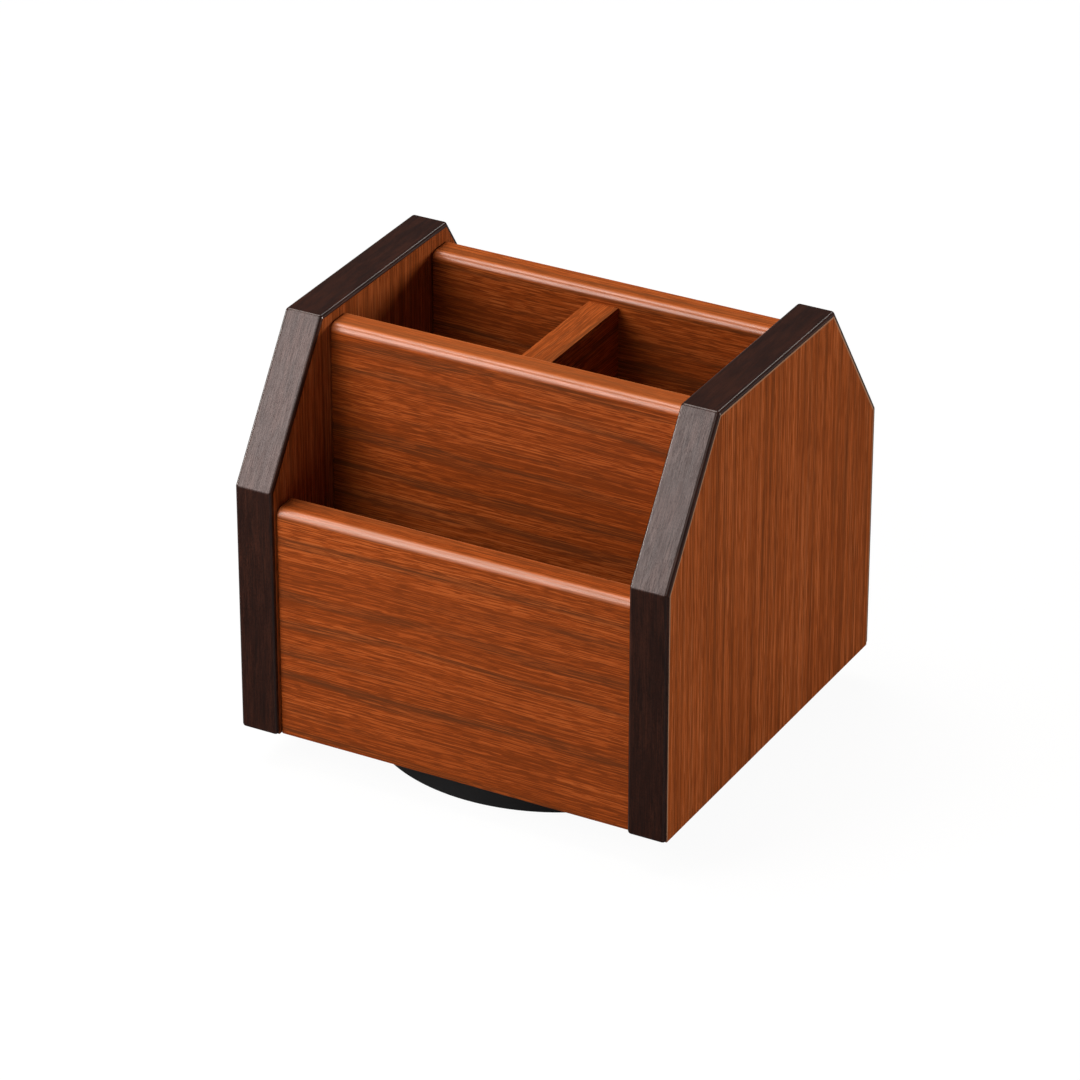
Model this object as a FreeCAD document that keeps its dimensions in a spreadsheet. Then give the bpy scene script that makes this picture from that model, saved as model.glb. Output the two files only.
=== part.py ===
import FreeCAD, Part
import os
import re
import Sketcher

# Revolving desk organizer: a small cabinet of laminated boards on a ball-bearing turntable.
# Millimetres, +Z up, front towards -Y. The origin is on the desk, on the swivel axis.

SIZES = (
    # Cabinet sides
    ("overall_width", 172.0),
    ("overall_depth", 164.0),
    ("side_height", 152.0),
    ("shoulder_height", 98.0),
    ("plateau_length", 90.0),
    ("side_thickness", 15.0),
    ("band_thickness", 1.6),
    ("band_arris", 1.4),
    ("band_corner", 1.2),
    # Upright panels and boards between the sides
    ("panel_thickness", 12.0),
    ("panel_recess", 2.7),
    ("front_height", 91.0),
    ("middle_height", 147.0),
    ("back_height", 145.0),
    ("rear_height", 91.0),
    ("divider_height", 140.0),
    ("front_bin_depth", 27.3),
    ("pen_bin_depth", 61.0),
    ("divider_thickness", 12.0),
    ("panel_front_round", 3.2),
    ("panel_back_round", 2.5),
    ("panel_end_round", 1.0),
    ("bottom_thickness", 9.0),
    ("shelf_thickness", 9.0),
    ("bay_height", 41.0),
    ("partition_thickness", 9.0),
    # Dowels that pin the boards to the sides
    ("dowel_diameter", 5.0),
    ("dowel_length", 22.0),
    ("dowel_in_side", 10.0),
    ("dowel_play", 0.05),
    ("dowel_end_gap", 0.5),
    # Drawers
    ("drawer_gap", 0.75),
    ("run_clearance", 0.3),
    ("drawer_front_thickness", 12.0),
    ("drawer_front_round", 2.0),
    ("drawer_wall", 6.0),
    ("drawer_side_height", 32.0),
    ("drawer_side_round", 1.0),
    ("drawer_bottom_thickness", 3.0),
    ("groove_depth", 3.0),
    ("groove_height", 4.0),
    ("groove_play", 0.1),
    ("knob_diameter", 14.0),
    ("knob_length", 13.0),
    ("knob_head_length", 6.0),
    ("knob_neck_diameter", 7.5),
    ("knob_foot_diameter", 10.0),
    ("knob_foot_length", 2.0),
    ("knob_round", 2.4),
    ("knob_screw_diameter", 4.0),
    ("knob_screw_length", 20.0),
    ("knob_screw_head", 7.5),
    ("knob_screw_head_height", 2.2),
    ("screw_play", 0.05),
    # Turntable
    ("foot_proud", 1.0),
    ("foot_thickness", 2.2),
    ("foot_diameter", 14.0),
    ("foot_boss_diameter", 16.0),
    ("foot_inset", 11.0),
    ("foot_count", 4),
    ("base_radius", 70.0),
    ("base_height", 11.5),
    ("base_wall", 2.5),
    ("base_round", 1.2),
    ("rib_count", 10),
    ("rib_thickness", 2.0),
    ("swivel_gap", 1.4),
    ("plate_radius", 48.0),
    ("plate_thickness", 2.5),
    ("plate_gap", 1.5),
    ("race_radius", 40.0),
    ("race_curve", 2.9),
    ("race_depth", 0.35),
    ("ball_diameter", 5.0),
    ("ball_count", 12),
    ("ball_play", 0.05),
    ("cage_width", 9.0),
    ("cage_thickness", 1.8),
    ("cage_play", 0.15),
    ("hub_radius", 9.0),
    ("hub_head_room", 0.7),
    ("rivet_diameter", 6.0),
    ("rivet_play", 0.05),
    ("rivet_head_diameter", 12.0),
    ("rivet_top_diameter", 10.0),
    ("rivet_head_thickness", 1.5),
    ("washer_diameter", 14.0),
    ("washer_thickness", 0.8),
    ("rivet_pocket_room", 1.1),
    ("plate_screw_circle", 24.0),
    ("plate_screw_count", 4),
    ("plate_screw_diameter", 3.0),
    ("plate_screw_head", 6.0),
    ("plate_screw_length", 9.5),
    ("plate_screw_point", 1.5),
    ("plate_screw_sink", 0.1),
    ("access_hole_diameter", 8.0),
)

# Sizes that follow from the ones above
DERIVED = (
    ("base_top", "foot_proud + base_height"),
    ("body_bottom", "base_top + swivel_gap"),
    ("plate_bottom", "body_bottom - plate_thickness"),
    ("ball_centre", "plate_bottom + race_depth - ball_play - ball_diameter / 2"),
    ("race_floor", "ball_centre - ball_diameter / 2 - ball_play + race_depth"),
    ("floor_bottom", "race_floor - base_wall"),
    ("foot_circle_radius", "base_radius - foot_inset"),
    ("well_radius", "plate_radius + plate_gap"),
    ("hub_bottom", "foot_proud + hub_head_room + rivet_head_thickness"),
    ("rivet_bore_radius", "rivet_diameter / 2 + rivet_play"),
    ("washer_bottom", "body_bottom + rivet_play"),
    ("washer_top", "washer_bottom + washer_thickness"),
    ("rivet_pocket_depth", "washer_top + rivet_head_thickness + rivet_pocket_room - body_bottom"),
    ("interior_width", "overall_width - 2 * side_thickness"),
    ("slope_run", "(overall_depth - plateau_length) / 2"),
    ("slope_rise", "side_height - shoulder_height"),
    ("slope_length", "sqrt(slope_run ^ 2 + slope_rise ^ 2)"),
    ("shoulder_drop", "band_thickness * (slope_length - slope_rise) / slope_run"),
    ("plateau_trim", "band_thickness * (slope_length - slope_run) / slope_rise"),
    ("front_face", "panel_recess - overall_depth / 2"),
    ("front_inside", "front_face + panel_thickness"),
    ("middle_face", "front_inside + front_bin_depth"),
    ("middle_inside", "middle_face + panel_thickness"),
    ("back_face", "middle_inside + pen_bin_depth"),
    ("back_inside", "back_face + panel_thickness"),
    ("rear_face", "overall_depth / 2 - panel_recess"),
    ("rear_inside", "rear_face - panel_thickness"),
    ("bay_floor", "body_bottom + bottom_thickness"),
    ("shelf_bottom", "bay_floor + bay_height"),
    ("shelf_top", "shelf_bottom + shelf_thickness"),
    ("bay_width", "(interior_width - partition_thickness) / 2"),
    ("drawer_width", "bay_width - 2 * drawer_gap"),
    ("drawer_centre", "(partition_thickness + bay_width) / 2"),
    ("drawer_front_inside", "rear_face - drawer_front_thickness"),
    ("drawer_end", "middle_inside + run_clearance"),
    ("drawer_underside", "bay_floor + run_clearance"),
    ("drawer_top", "drawer_underside + drawer_side_height"),
    ("groove_low", "drawer_underside + groove_height"),
    ("groove_high", "groove_low + drawer_bottom_thickness + 2 * groove_play"),
    ("drawer_floor", "groove_high - groove_play"),
    ("knob_level", "bay_floor + bay_height / 2"),
    ("dowel_hole_radius", "dowel_diameter / 2 + dowel_play"),
)

# Where the dowels enter the sides, board by board, as (y, z)
DOWELS = {
    "front_panel": (
        ("front_face + panel_thickness / 2", "body_bottom + front_height * 0.25"),
        ("front_face + panel_thickness / 2", "body_bottom + front_height * 0.75"),
    ),
    "middle_panel": (
        ("middle_face + panel_thickness / 2", "body_bottom + middle_height * 0.25"),
        ("middle_face + panel_thickness / 2", "body_bottom + middle_height * 0.8"),
    ),
    "back_panel": (
        ("back_face + panel_thickness / 2", "shelf_top + (body_bottom + back_height - shelf_top) * 0.25"),
        ("back_face + panel_thickness / 2", "shelf_top + (body_bottom + back_height - shelf_top) * 0.75"),
    ),
    "rear_panel": (
        ("rear_face - panel_thickness / 2", "(shelf_top + body_bottom + rear_height) / 2"),
    ),
    "bottom_board": (
        ("front_inside + (rear_face - front_inside) * 0.15", "body_bottom + bottom_thickness / 2"),
        ("front_inside + (rear_face - front_inside) * 0.85", "body_bottom + bottom_thickness / 2"),
    ),
    "shelf_board": (
        ("middle_inside + (rear_face - middle_inside) * 0.15", "shelf_bottom + shelf_thickness / 2"),
        ("middle_inside + (rear_face - middle_inside) * 0.7", "shelf_bottom + shelf_thickness / 2"),
    ),
}

TOUCH = 0.001

doc = FreeCAD.newDocument("desk_organizer")
sheet = doc.addObject("Spreadsheet::Sheet", "Sizes")
for row, (alias, number) in enumerate(SIZES, start=1):
    sheet.set(f"A{row}", alias)
    sheet.set(f"B{row}", str(number))
    sheet.setAlias(f"B{row}", alias)
for row, (alias, formula) in enumerate(DERIVED, start=len(SIZES) + 1):
    sheet.set(f"A{row}", alias)
    sheet.set(f"B{row}", f"={formula}")
    sheet.setAlias(f"B{row}", alias)
doc.recompute()

ALIASES = re.compile(r"\b(" + "|".join(alias for alias, _ in SIZES + DERIVED) + r")\b")
pieces = []


# Helpers: expressions, sketches and features

def value(formula):
    """The number that a formula of sheet aliases gives."""
    return float(sheet.evalExpression(formula))


def bind(target, path, formula):
    """Tie a property of target to the sheet."""
    target.setExpression(path, ALIASES.sub(r"Sizes.\1", formula))


def new_body(name):
    """A sub-part that is modelled where it lies; its label names its file."""
    body = doc.addObject("PartDesign::Body", name)
    body.Label = name
    body.AllowCompound = True
    pieces.append(body)
    return body


def datum(body, role):
    """A plane or axis of the body's own origin."""
    return next(item for item in body.Origin.OriginFeatures if item.Role == role)


def new_sketch(body, plane, offset=None, shift=None):
    """A sketch on an origin plane, moved along its normal by offset and along its x by shift."""
    sketch = body.newObject("Sketcher::SketchObject", "sketch")
    sketch.AttachmentSupport = (datum(body, plane), [""])
    sketch.MapMode = "FlatFace"
    if offset:
        bind(sketch, "AttachmentOffset.Base.z", offset)
    if shift:
        bind(sketch, "AttachmentOffset.Base.x", shift)
    return sketch


def fix_point(sketch, curve, point, place):
    """Hold a sketch point at a pair of formulas, measured from the sketch's origin."""
    for kind, formula in zip(("DistanceX", "DistanceY"), place):
        number = value(formula)
        index = sketch.addConstraint(Sketcher.Constraint(kind, -1, 1, curve, point, number))
        bind(sketch, f"Constraints[{index}]", formula)


def polygon(sketch, corners):
    """A closed outline through corners that are pairs of formulas."""
    points = [FreeCAD.Vector(value(across), value(up), 0) for across, up in corners]
    ends = points[1:] + points[:1]
    lines = [sketch.addGeometry(Part.LineSegment(a, b), False) for a, b in zip(points, ends)]
    for line, after in zip(lines, lines[1:] + lines[:1]):
        sketch.addConstraint(Sketcher.Constraint("Coincident", line, 2, after, 1))
    for line, corner in zip(lines, corners):
        fix_point(sketch, line, 1, corner)
    return sketch


def rectangle(sketch, left, right, low, high):
    return polygon(sketch, ((left, low), (right, low), (right, high), (left, high)))


def circle(sketch, place, radius):
    """A circle about a pair of formulas."""
    centre = FreeCAD.Vector(value(place[0]), value(place[1]), 0)
    curve = sketch.addGeometry(Part.Circle(centre, FreeCAD.Vector(0, 0, 1), value(radius)), False)
    fix_point(sketch, curve, 3, place)
    index = sketch.addConstraint(Sketcher.Constraint("Radius", curve, value(radius)))
    bind(sketch, f"Constraints[{index}]", radius)
    return sketch


def pad(body, sketch, length, side="One side", other_length=None):
    feature = body.newObject("PartDesign::Pad", "pad")
    feature.Profile = sketch
    feature.SideType = side
    bind(feature, "Length", length)
    if other_length:
        bind(feature, "Length2", other_length)
    doc.recompute()
    return feature


def revolve(body, sketch):
    feature = body.newObject("PartDesign::Revolution", "revolution")
    feature.Profile = sketch
    feature.ReferenceAxis = (sketch, ["V_Axis"])
    feature.Angle = 360
    doc.recompute()
    return feature


def require_cut(body, volume_before):
    """A cut that points away from its solid removes nothing, which is a mistake."""
    if body.Shape.Volume > volume_before - TOUCH:
        raise RuntimeError(f"a cut in {body.Label} removes nothing")


def pocket(body, sketch, depth=None, away=False):
    """Cut against the sketch's normal, along it if away, or right through without a depth."""
    volume_before = body.Shape.Volume
    feature = body.newObject("PartDesign::Pocket", "pocket")
    feature.Profile = sketch
    feature.Reversed = away
    if depth:
        bind(feature, "Length", depth)
    else:
        feature.Type = "ThroughAll"
        feature.SideType = "Symmetric"
    doc.recompute()
    require_cut(body, volume_before)
    return feature


def groove(body, sketch):
    """Cut a ring or a hole about the sketch's vertical axis."""
    volume_before = body.Shape.Volume
    feature = body.newObject("PartDesign::Groove", "groove")
    feature.Profile = sketch
    feature.ReferenceAxis = (sketch, ["V_Axis"])
    feature.Angle = 360
    doc.recompute()
    require_cut(body, volume_before)
    return feature


def polar(body, features, count):
    """Repeat features about the swivel axis."""
    pattern = body.newObject("PartDesign::PolarPattern", "polar")
    pattern.Originals = features
    pattern.Axis = (datum(body, "Z_Axis"), [""])
    pattern.Angle = 360
    bind(pattern, "Occurrences", count)
    body.Tip = pattern
    doc.recompute()


def mirror(body, feature):
    """Repeat a feature on the other side of the middle of the cabinet."""
    copy = body.newObject("PartDesign::Mirrored", "mirrored")
    copy.Originals = [feature]
    copy.MirrorPlane = (datum(body, "YZ_Plane"), [""])
    body.Tip = copy
    doc.recompute()


def round_edges(body, radius, chosen):
    """Round the edges whose bounding box passes the test."""
    base = body.Tip
    names = [f"Edge{n}" for n, edge in enumerate(base.Shape.Edges, start=1) if chosen(edge.BoundBox)]
    feature = body.newObject("PartDesign::Fillet", "fillet")
    feature.Base = (base, names)
    bind(feature, "Radius", radius)
    doc.recompute()


def runs_along_x(box):
    return box.YLength < TOUCH and box.ZLength < TOUCH


def lies_at(number, place):
    return abs(number - place) < TOUCH


# The cabinet's sides: a core of board and the dark band that wraps its front, slopes, top and back

def side_outline(inset, drop, trim, bottom):
    """The side's six corners, moved inwards by inset."""
    half = f"(overall_depth / 2 - {inset})"
    shoulder = f"body_bottom + shoulder_height - {drop}"
    plateau = f"(plateau_length / 2 - {trim})"
    top = f"body_bottom + side_height - {inset}"
    return (
        (f"-{half}", bottom),
        (f"-{half}", shoulder),
        (f"-{plateau}", top),
        (plateau, top),
        (half, shoulder),
        (half, bottom),
    )


def dowel_places():
    return [place for places in DOWELS.values() for place in places]


def side_panel(name, plane_offset, inner_offset, on_right):
    body = new_body(name)
    corners = side_outline("band_thickness", "shoulder_drop", "plateau_trim", "body_bottom")
    pad(body, polygon(new_sketch(body, "YZ_Plane", plane_offset), corners), "side_thickness")
    holes = new_sketch(body, "YZ_Plane", inner_offset)
    for place in dowel_places():
        circle(holes, place, "dowel_hole_radius")
    pocket(body, holes, "dowel_in_side + dowel_end_gap", away=on_right)


def edge_band(name, plane_offset):
    body = new_body(name)
    outline = side_outline("0", "0", "0", "body_bottom")
    pad(body, polygon(new_sketch(body, "YZ_Plane", plane_offset), outline), "side_thickness")
    round_edges(body, "band_corner", runs_along_x)
    round_edges(body, "min(band_arris; band_thickness - 0.1)", lambda box: box.XLength < TOUCH)
    core = side_outline(
        "band_thickness", "shoulder_drop", "plateau_trim", "body_bottom - band_thickness"
    )
    pocket(body, polygon(new_sketch(body, "YZ_Plane", plane_offset), core))


LEFT_PLANE = "-overall_width / 2"
RIGHT_PLANE = "interior_width / 2"
side_panel("side_panel_left", LEFT_PLANE, "-interior_width / 2", on_right=False)
side_panel("side_panel_right", RIGHT_PLANE, RIGHT_PLANE, on_right=True)
edge_band("edge_band_left", LEFT_PLANE)
edge_band("edge_band_right", RIGHT_PLANE)


# Boards between the sides

def board(name, y_low, y_high, z_low, z_high, width="interior_width"):
    """A board centred on the cabinet, given by its section."""
    body = new_body(name)
    section = rectangle(new_sketch(body, "YZ_Plane"), y_low, y_high, z_low, z_high)
    pad(body, section, width, "Symmetric")
    return body


def drill_for_dowels(body):
    """Holes in both ends of a board."""
    holes = new_sketch(body, "YZ_Plane", "interior_width / 2")
    for place in DOWELS[body.Label]:
        circle(holes, place, "dowel_hole_radius")
    mirror(body, pocket(body, holes, "dowel_length - dowel_in_side + dowel_end_gap"))


def upright_panel(name, y_low, y_high, z_low, z_high, outside_low=True):
    """A panel with a large round on its outer top edge, a small one behind, and eased ends."""
    body = board(name, y_low, y_high, z_low, z_high)
    outer, inner = (value(y_low), value(y_high)) if outside_low else (value(y_high), value(y_low))
    top = value(z_high)
    bottom = value(z_low)

    def outer_top(box):
        return runs_along_x(box) and lies_at(box.ZMax, top) and lies_at(box.YMin, outer)

    def inner_top(box):
        return runs_along_x(box) and lies_at(box.ZMax, top) and lies_at(box.YMin, inner)

    round_edges(body, "panel_front_round", outer_top)
    round_edges(body, "panel_back_round", inner_top)
    round_edges(
        body,
        "panel_end_round",
        lambda box: box.XLength < TOUCH and box.ZMax > bottom + TOUCH,
    )
    drill_for_dowels(body)


upright_panel("front_panel", "front_face", "front_inside", "body_bottom", "body_bottom + front_height")
upright_panel("middle_panel", "middle_face", "middle_inside", "bay_floor", "body_bottom + middle_height")
upright_panel("back_panel", "back_face", "back_inside", "shelf_top", "body_bottom + back_height")
upright_panel(
    "rear_panel", "rear_inside", "rear_face", "shelf_top", "body_bottom + rear_height", outside_low=False
)
board(
    "pen_divider", "middle_inside", "back_face", "shelf_top", "body_bottom + divider_height",
    "divider_thickness",
)
board(
    "drawer_partition", "middle_inside", "rear_face", "bay_floor", "shelf_bottom", "partition_thickness"
)
shelf = board("shelf_board", "middle_inside", "rear_face", "shelf_bottom", "shelf_top")
drill_for_dowels(shelf)

# The bottom board also takes the turntable's screws and clears the rivet's head
floor_board = board("bottom_board", "front_inside", "rear_face", "body_bottom", "bay_floor")
drill_for_dowels(floor_board)
rivet_pocket = new_sketch(floor_board, "XY_Plane", "body_bottom")
circle(rivet_pocket, ("0", "0"), "washer_diameter / 2 + rivet_pocket_room")
pocket(floor_board, rivet_pocket, "rivet_pocket_depth", away=True)
pilot = new_sketch(floor_board, "XY_Plane", "body_bottom")
circle(pilot, ("plate_screw_circle", "0"), "plate_screw_diameter / 2 + screw_play")
pilot_cut = pocket(
    floor_board, pilot, "plate_screw_length - plate_thickness + plate_screw_sink + dowel_end_gap", away=True
)
polar(floor_board, [pilot_cut], "plate_screw_count")

# Dowels: each reaches from a side into a board
dowels = new_body("panel_dowels")
dowel_sketch = new_sketch(dowels, "YZ_Plane", "interior_width / 2")
for dowel_place in dowel_places():
    circle(dowel_sketch, dowel_place, "dowel_diameter / 2")
mirror(
    dowels,
    pad(dowels, dowel_sketch, "dowel_in_side", "Two sides", "dowel_length - dowel_in_side"),
)


# Drawers: a rounded front, grooved sides, a back, a bottom held in the grooves, and a screwed knob

def drawer_side(name, outer, inwards):
    """A side with the groove for the bottom, from its outer face inwards (+1 or -1)."""
    body = new_body(name)
    inner = f"{outer} + {inwards} * drawer_wall"
    groove_end = f"{outer} + {inwards} * (drawer_wall - groove_depth)"
    section = (
        (outer, "drawer_underside"),
        (inner, "drawer_underside"),
        (inner, "groove_low"),
        (groove_end, "groove_low"),
        (groove_end, "groove_high"),
        (inner, "groove_high"),
        (inner, "drawer_top"),
        (outer, "drawer_top"),
    )
    sketch = polygon(new_sketch(body, "XZ_Plane", "-drawer_front_inside"), section)
    pad(body, sketch, "drawer_front_inside - drawer_end")
    top = value("drawer_top")
    round_edges(
        body,
        "drawer_side_round",
        lambda box: box.XLength < TOUCH and box.ZLength < TOUCH and lies_at(box.ZMax, top),
    )


def drawer_front(name, centre):
    body = new_body(name)
    half = "drawer_width / 2"
    face = rectangle(
        new_sketch(body, "XZ_Plane", "-rear_face"),
        f"{centre} - {half}",
        f"{centre} + {half}",
        "bay_floor + drawer_gap",
        "shelf_bottom - drawer_gap",
    )
    pad(body, face, "drawer_front_thickness")
    outside = value("rear_face")
    round_edges(body, "drawer_front_round", lambda box: lies_at(box.YMin, outside))
    reach = "(drawer_width / 2 - drawer_wall + groove_depth)"
    slot = rectangle(
        new_sketch(body, "XZ_Plane", "-drawer_front_inside"),
        f"{centre} - {reach}",
        f"{centre} + {reach}",
        "groove_low",
        "groove_high",
    )
    pocket(body, slot, "groove_depth")
    hole = new_sketch(body, "XZ_Plane", "-rear_face")
    pocket(body, circle(hole, (centre, "knob_level"), "knob_screw_diameter / 2 + screw_play"))


def drawer_back(name, centre):
    body = new_body(name)
    half = "(drawer_width / 2 - drawer_wall)"
    face = rectangle(
        new_sketch(body, "XZ_Plane", "-drawer_end"),
        f"{centre} - {half}",
        f"{centre} + {half}",
        "drawer_floor",
        "drawer_top",
    )
    back = pad(body, face, "drawer_wall")
    back.Reversed = True
    doc.recompute()


def drawer_bottom(name, centre):
    body = new_body(name)
    half = "(drawer_width / 2 - drawer_wall + groove_depth - groove_play)"
    outline = rectangle(
        new_sketch(body, "XY_Plane", "groove_low + groove_play"),
        f"{centre} - {half}",
        f"{centre} + {half}",
        "drawer_end",
        "drawer_front_inside + groove_depth - groove_play",
    )
    pad(body, outline, "drawer_bottom_thickness")


def knob(name, centre):
    """A turned knob with a blind bore for its screw, revolved about a line along Y."""
    body = new_body(name)
    bore = "knob_screw_diameter / 2 + screw_play"
    bore_end = "drawer_front_inside + knob_screw_length + dowel_end_gap"
    profile = (
        (bore, "rear_face"),
        ("knob_foot_diameter / 2", "rear_face"),
        ("knob_foot_diameter / 2", "rear_face + knob_foot_length / 2"),
        ("knob_neck_diameter / 2", "rear_face + knob_foot_length"),
        ("knob_neck_diameter / 2", "rear_face + knob_length - knob_head_length - knob_foot_length / 2"),
        ("knob_diameter / 2", "rear_face + knob_length - knob_head_length"),
        ("knob_diameter / 2", "rear_face + knob_length"),
        ("0", "rear_face + knob_length"),
        ("0", bore_end),
        (bore, bore_end),
    )
    revolve(body, polygon(new_sketch(body, "XY_Plane", "knob_level", centre), profile))
    widest = value("knob_diameter") - TOUCH
    round_edges(body, "knob_round", lambda box: box.XLength > widest and box.YLength < TOUCH)


def knob_screw(name, centre):
    body = new_body(name)
    head_end = "drawer_front_inside - knob_screw_head_height"
    profile = (
        ("0", head_end),
        ("knob_screw_head / 2", head_end),
        ("knob_screw_head / 2", "drawer_front_inside"),
        ("knob_screw_diameter / 2", "drawer_front_inside"),
        ("knob_screw_diameter / 2", "drawer_front_inside + knob_screw_length"),
        ("0", "drawer_front_inside + knob_screw_length"),
    )
    revolve(body, polygon(new_sketch(body, "XY_Plane", "knob_level", centre), profile))


for drawer, sign in (("drawer_left", "-1"), ("drawer_right", "1")):
    middle = f"{sign} * drawer_centre"
    drawer_front(f"{drawer}_front", middle)
    drawer_side(f"{drawer}_side_a", f"{middle} - drawer_width / 2", "1")
    drawer_side(f"{drawer}_side_b", f"{middle} + drawer_width / 2", "-1")
    drawer_back(f"{drawer}_back", middle)
    drawer_bottom(f"{drawer}_bottom", middle)
    knob(f"{drawer}_knob", middle)
    knob_screw(f"{drawer}_knob_screw", middle)


# Turntable: a ribbed base moulding, a caged ring of balls and the plate that carries the cabinet

def race(body, level):
    """A ball race cut round the swivel axis by a circle at this level."""
    groove(body, circle(new_sketch(body, "XZ_Plane"), ("race_radius", level), "race_curve"))


base = new_body("base_disc")
base_section = (
    ("rivet_bore_radius", "hub_bottom"),
    ("hub_radius", "hub_bottom"),
    ("hub_radius", "floor_bottom"),
    ("well_radius + base_wall", "floor_bottom"),
    ("well_radius + base_wall", "base_top - base_wall"),
    ("base_radius - base_wall", "base_top - base_wall"),
    ("base_radius - base_wall", "foot_proud"),
    ("base_radius", "foot_proud"),
    ("base_radius", "base_top"),
    ("well_radius", "base_top"),
    ("well_radius", "race_floor"),
    ("hub_radius", "race_floor"),
    ("hub_radius", "plate_bottom - rivet_play"),
    ("rivet_bore_radius", "plate_bottom - rivet_play"),
)
revolve(base, polygon(new_sketch(base, "XZ_Plane"), base_section))
base_rim = value("base_top")
base_edge = 2 * value("base_radius") - TOUCH
round_edges(base, "base_round", lambda box: lies_at(box.ZMin, base_rim) and box.XLength > base_edge)
race(base, "race_floor - race_depth + race_curve")
rib_section = (
    ("hub_radius - base_wall / 2", "hub_bottom"),
    ("base_radius - base_wall / 2", "hub_bottom"),
    ("base_radius - base_wall / 2", "base_top - base_wall / 2"),
    ("well_radius + base_wall / 2", "base_top - base_wall / 2"),
    ("well_radius + base_wall / 2", "floor_bottom + base_wall / 2"),
    ("hub_radius - base_wall / 2", "floor_bottom + base_wall / 2"),
)
rib = pad(base, polygon(new_sketch(base, "XZ_Plane"), rib_section), "rib_thickness", "Symmetric")
polar(base, [rib], "rib_count")
boss_sketch = new_sketch(base, "XY_Plane", "foot_thickness")
circle(boss_sketch, ("foot_circle_radius", "0"), "foot_boss_diameter / 2")
boss = pad(base, boss_sketch, "base_top - base_wall / 2 - foot_thickness")
polar(base, [boss], "foot_count")

# A screwdriver reaches the plate's screws through one hole in the base's floor
access = new_sketch(base, "XY_Plane", "race_floor")
pocket(base, circle(access, ("0", "plate_screw_circle"), "access_hole_diameter / 2"))

feet = new_body("base_feet")
foot_sketch = circle(
    new_sketch(feet, "XY_Plane"), ("foot_circle_radius", "0"), "foot_diameter / 2"
)
foot = pad(feet, foot_sketch, "foot_thickness")
polar(feet, [foot], "foot_count")

rivet = new_body("pivot_rivet")
rivet_section = (
    ("0", "hub_bottom - rivet_head_thickness"),
    ("rivet_head_diameter / 2", "hub_bottom - rivet_head_thickness"),
    ("rivet_head_diameter / 2", "hub_bottom"),
    ("rivet_diameter / 2", "hub_bottom"),
    ("rivet_diameter / 2", "washer_top"),
    ("rivet_top_diameter / 2", "washer_top"),
    ("rivet_top_diameter / 2", "washer_top + rivet_head_thickness"),
    ("0", "washer_top + rivet_head_thickness"),
)
revolve(rivet, polygon(new_sketch(rivet, "XZ_Plane"), rivet_section))

washer = new_body("pivot_washer")
washer_section = rectangle(
    new_sketch(washer, "XZ_Plane"),
    "rivet_bore_radius",
    "washer_diameter / 2",
    "washer_bottom",
    "washer_top",
)
revolve(washer, washer_section)

plate = new_body("turntable_plate")
plate_section = rectangle(
    new_sketch(plate, "XZ_Plane"), "rivet_bore_radius", "plate_radius", "plate_bottom", "body_bottom"
)
revolve(plate, plate_section)
race(plate, "plate_bottom + race_depth - race_curve")
screw_hole_radius = "(plate_screw_diameter / 2 + plate_screw_sink)"
sink_radius = "(plate_screw_head / 2 + plate_screw_sink)"
countersink = (
    ("0", "plate_bottom - plate_screw_sink"),
    (sink_radius, "plate_bottom - plate_screw_sink"),
    (sink_radius, "plate_bottom"),
    (screw_hole_radius, f"plate_bottom + {sink_radius} - {screw_hole_radius}"),
    (screw_hole_radius, "body_bottom + plate_screw_sink"),
    ("0", "body_bottom + plate_screw_sink"),
)
sink_sketch = new_sketch(plate, "XZ_Plane", shift="plate_screw_circle")
polar(plate, [groove(plate, polygon(sink_sketch, countersink))], "plate_screw_count")

screws = new_body("plate_screws")
screw_low = "plate_bottom + plate_screw_sink"
screw_section = (
    ("0", screw_low),
    ("plate_screw_head / 2", screw_low),
    ("plate_screw_diameter / 2", f"{screw_low} + (plate_screw_head - plate_screw_diameter) / 2"),
    ("plate_screw_diameter / 2", f"{screw_low} + plate_screw_length - plate_screw_point"),
    ("0", f"{screw_low} + plate_screw_length"),
)
screw_sketch = new_sketch(screws, "XZ_Plane", shift="plate_screw_circle")
screw = revolve(screws, polygon(screw_sketch, screw_section))
polar(screws, [screw], "plate_screw_count")

cage = new_body("ball_cage")
cage_section = rectangle(
    new_sketch(cage, "XZ_Plane"),
    "race_radius - cage_width / 2",
    "race_radius + cage_width / 2",
    "ball_centre - cage_thickness / 2",
    "ball_centre + cage_thickness / 2",
)
revolve(cage, cage_section)
cage_hole = circle(
    new_sketch(cage, "XY_Plane", "ball_centre"), ("race_radius", "0"), "ball_diameter / 2 + cage_play"
)
polar(cage, [pocket(cage, cage_hole)], "ball_count")

# The balls, one sphere for each hole of the cage
balls = []
for number in range(int(value("ball_count"))):
    ball = doc.addObject("Part::Sphere", f"ball_{number + 1}")
    bind(ball, "Radius", "ball_diameter / 2")
    bind(ball, "Placement.Base.x", f"race_radius * cos({number} * 360 deg / ball_count)")
    bind(ball, "Placement.Base.y", f"race_radius * sin({number} * 360 deg / ball_count)")
    bind(ball, "Placement.Base.z", "ball_centre")
    balls.append(ball)
ball_set = doc.addObject("Part::Compound", "bearing_balls")
ball_set.Label = "bearing_balls"
ball_set.Links = balls
pieces.append(ball_set)

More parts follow.
